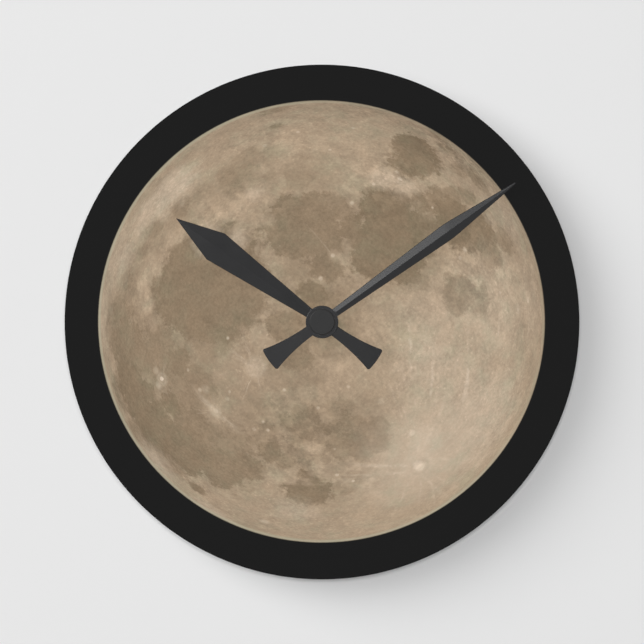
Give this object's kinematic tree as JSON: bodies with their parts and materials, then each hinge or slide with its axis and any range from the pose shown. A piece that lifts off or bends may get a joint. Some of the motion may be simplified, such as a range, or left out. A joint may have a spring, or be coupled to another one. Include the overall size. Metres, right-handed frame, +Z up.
{
  "type": "wall clock",
  "caption": "Round frameless wall clock: full moon print on a black disc, dart-shaped black hands, battery quartz movement with a keyhole hanger behind.",
  "frame": {"origin": "where the hands' axis meets the wall, on the rear cover's flat outer face", "axes": "+Z up towards twelve o'clock, +Y into the wall, so the dial faces -Y; +X to the right as seen from the front"},
  "size_m": [0.2032, 0.031, 0.2032],
  "materials": {
    "acrylic": "glossy black sheet",
    "moon_print": "semi-gloss printed film",
    "hand_paint": "satin dark slate paint on steel",
    "brass": "turned and milled",
    "rubber": "matte",
    "steel": "zinc plated",
    "black_plastic": "fine moulded texture",
    "natural_plastic": "smooth moulded",
    "white_plastic": "smooth moulded",
    "battery_sleeve": "glossy plastic sleeve on a steel can",
    "nickel": "nickel plated",
    "board": "brown laminate",
    "resin": "black resin drop",
    "copper": "enamelled copper wire",
    "magnet": "dark sintered magnet"
  },
  "bodies": {
    "case": {"case_front": "black_plastic", "case_back": "black_plastic", "middle_plate": "natural_plastic", "threaded_bushing": "brass", "rubber_gasket": "rubber", "dial_plate": "acrylic", "dial_print": "moon_print", "dial_washer": "brass", "hex_nut": "brass", "hanger_plate": "steel", "circuit_board": "board", "quartz_crystal": "nickel", "chip_cover": "resin", "contact_positive": "nickel", "contact_negative": "nickel", "stator_plate": "steel", "coil_core": "steel", "coil_bobbin": "white_plastic", "coil_winding": "copper"},
    "minute_work": {"minute_arbor": "steel", "minute_hand": "hand_paint", "hand_cap_nut": "hand_paint"},
    "hour_work": {"hour_wheel": "white_plastic", "hour_hand": "hand_paint"},
    "reverse_work": {"minute_wheel": "white_plastic"},
    "knob_work": {"setting_knob": "white_plastic"},
    "second_work": {"second_wheel": "natural_plastic"},
    "third_work": {"third_wheel": "natural_plastic"},
    "centre_work": {"centre_wheel": "natural_plastic"},
    "fifth_work": {"fifth_wheel": "natural_plastic"},
    "rotor_work": {"rotor_magnet": "magnet", "rotor_pinion": "white_plastic"},
    "battery": {"aa_cell": "battery_sleeve"}
  },
  "joints": [
    {"name": "minute_turn", "type": "hinge", "parent": "case", "child": "minute_work", "pos_m": [0, -0.02, 0], "axis": [0, 1, 0], "continuous": true},
    {"name": "hour_turn", "type": "hinge", "parent": "case", "child": "hour_work", "pos_m": [0, -0.02, 0], "axis": [0, 1, 0], "continuous": true},
    {"name": "reverse_turn", "type": "hinge", "parent": "case", "child": "reverse_work", "pos_m": [0.01056, -0.012, -0.00092], "axis": [0, 1, 0], "continuous": true},
    {"name": "knob_turn", "type": "hinge", "parent": "case", "child": "knob_work", "pos_m": [0.01765, -0.008, -0.0088], "axis": [0, 1, 0], "continuous": true},
    {"name": "second_turn", "type": "hinge", "parent": "case", "child": "second_work", "pos_m": [0, -0.006, 0], "axis": [0, 1, 0], "continuous": true},
    {"name": "third_turn", "type": "hinge", "parent": "case", "child": "third_work", "pos_m": [0.00456, -0.008, 0.00858], "axis": [0, 1, 0], "continuous": true},
    {"name": "centre_turn", "type": "hinge", "parent": "case", "child": "centre_work", "pos_m": [0, -0.0105, 0], "axis": [0, 1, 0], "continuous": true},
    {"name": "fifth_turn", "type": "hinge", "parent": "case", "child": "fifth_work", "pos_m": [-0.00846, -0.0036, 0.00308], "axis": [0, 1, 0], "continuous": true},
    {"name": "rotor_turn", "type": "hinge", "parent": "case", "child": "rotor_work", "pos_m": [-0.01413, -0.006, -0.00368], "axis": [0, 1, 0], "continuous": true},
    {"name": "battery_slide", "type": "slide", "parent": "case", "child": "battery", "axis": [0, 1, 0], "range_m": [0, 0.03]}
  ],
  "couplings": [
    {"joint": "hour_turn", "follows": "minute_turn", "ratio": 0.083333},
    {"joint": "reverse_turn", "follows": "minute_turn", "ratio": -0.33333},
    {"joint": "knob_turn", "follows": "minute_turn", "ratio": 1},
    {"joint": "third_turn", "follows": "second_turn", "ratio": -0.13333},
    {"joint": "centre_turn", "follows": "second_turn", "ratio": 0.016667},
    {"joint": "fifth_turn", "follows": "second_turn", "ratio": -5},
    {"joint": "rotor_turn", "follows": "second_turn", "ratio": 30}
  ]
}
